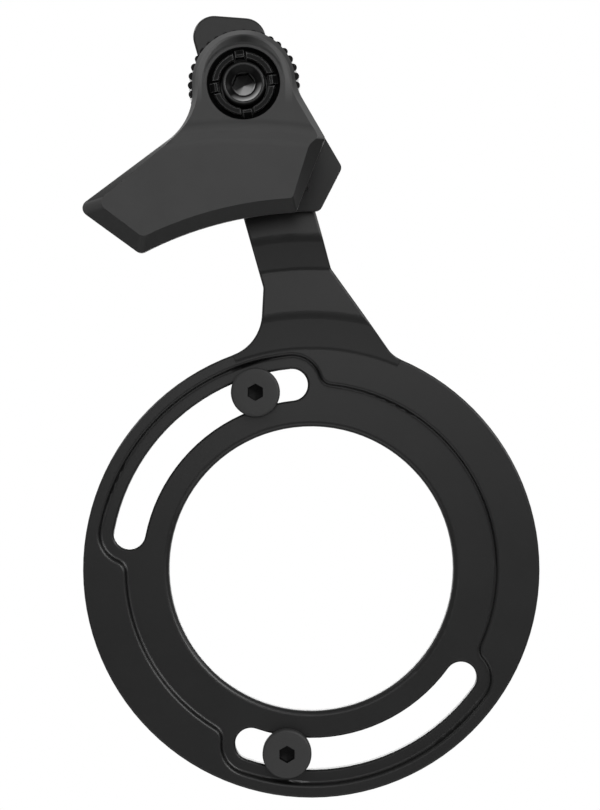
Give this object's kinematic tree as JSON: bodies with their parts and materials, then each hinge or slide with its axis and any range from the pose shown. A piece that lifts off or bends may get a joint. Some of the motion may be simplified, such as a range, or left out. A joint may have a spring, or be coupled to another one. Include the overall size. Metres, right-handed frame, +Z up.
{
  "type": "bicycle chain guide",
  "caption": "Bicycle chain guide: a pressed ring plate with arc slots and a joggled arm, and a moulded guide head that a knurled dial sets sideways and a clamp bolt locks.",
  "frame": {"origin": "centre of the ring's bore, on the mounting face", "axes": "+Y inboard along the ring axis, towards the bicycle; +Z up the arm; +X to the right seen from outboard"},
  "size_m": [0.093, 0.034, 0.158],
  "materials": {
    "black_plate": "satin black anodised, pressed sheet",
    "black_steel": "black oxide, fine grain",
    "guide_plastic": "moulded matte black nylon",
    "dial_plastic": "moulded matte black acetal"
  },
  "bodies": {
    "bracket": {"back_plate": "black_plate", "adjuster_stud": "black_steel"},
    "guide": {"outer_guide": "guide_plastic", "inner_guide": "guide_plastic", "guide_screws": "black_steel", "clamp_bolt": "black_steel", "clamp_washer": "black_steel"},
    "adjuster": {"adjuster_wheel": "dial_plastic"},
    "upper_bolt": {"upper_mount_bolt": "black_steel"},
    "lower_bolt": {"lower_mount_bolt": "black_steel"}
  },
  "joints": [
    {"name": "guide_slide", "type": "slide", "parent": "bracket", "child": "guide", "axis": [0, 1, 0], "range_m": [-0.002, 0.002]},
    {"name": "dial_turn", "type": "hinge", "parent": "guide", "child": "adjuster", "pos_m": [-0.0132, -0.02, 0.0956], "axis": [0, 1, 0], "range_deg": [-720, 720]},
    {"name": "upper_bolt_shift", "type": "hinge", "parent": "bracket", "child": "upper_bolt", "pos_m": [0, 0, 0], "axis": [0, 1, 0], "range_deg": [-61, 11]},
    {"name": "lower_bolt_shift", "type": "hinge", "parent": "bracket", "child": "lower_bolt", "pos_m": [0, 0, 0], "axis": [0, 1, 0], "range_deg": [-61, 11]}
  ],
  "couplings": [
    {"joint": "guide_slide", "follows": "dial_turn", "m_per_rad": 0.000159},
    {"joint": "lower_bolt_shift", "follows": "upper_bolt_shift", "ratio": 1}
  ]
}
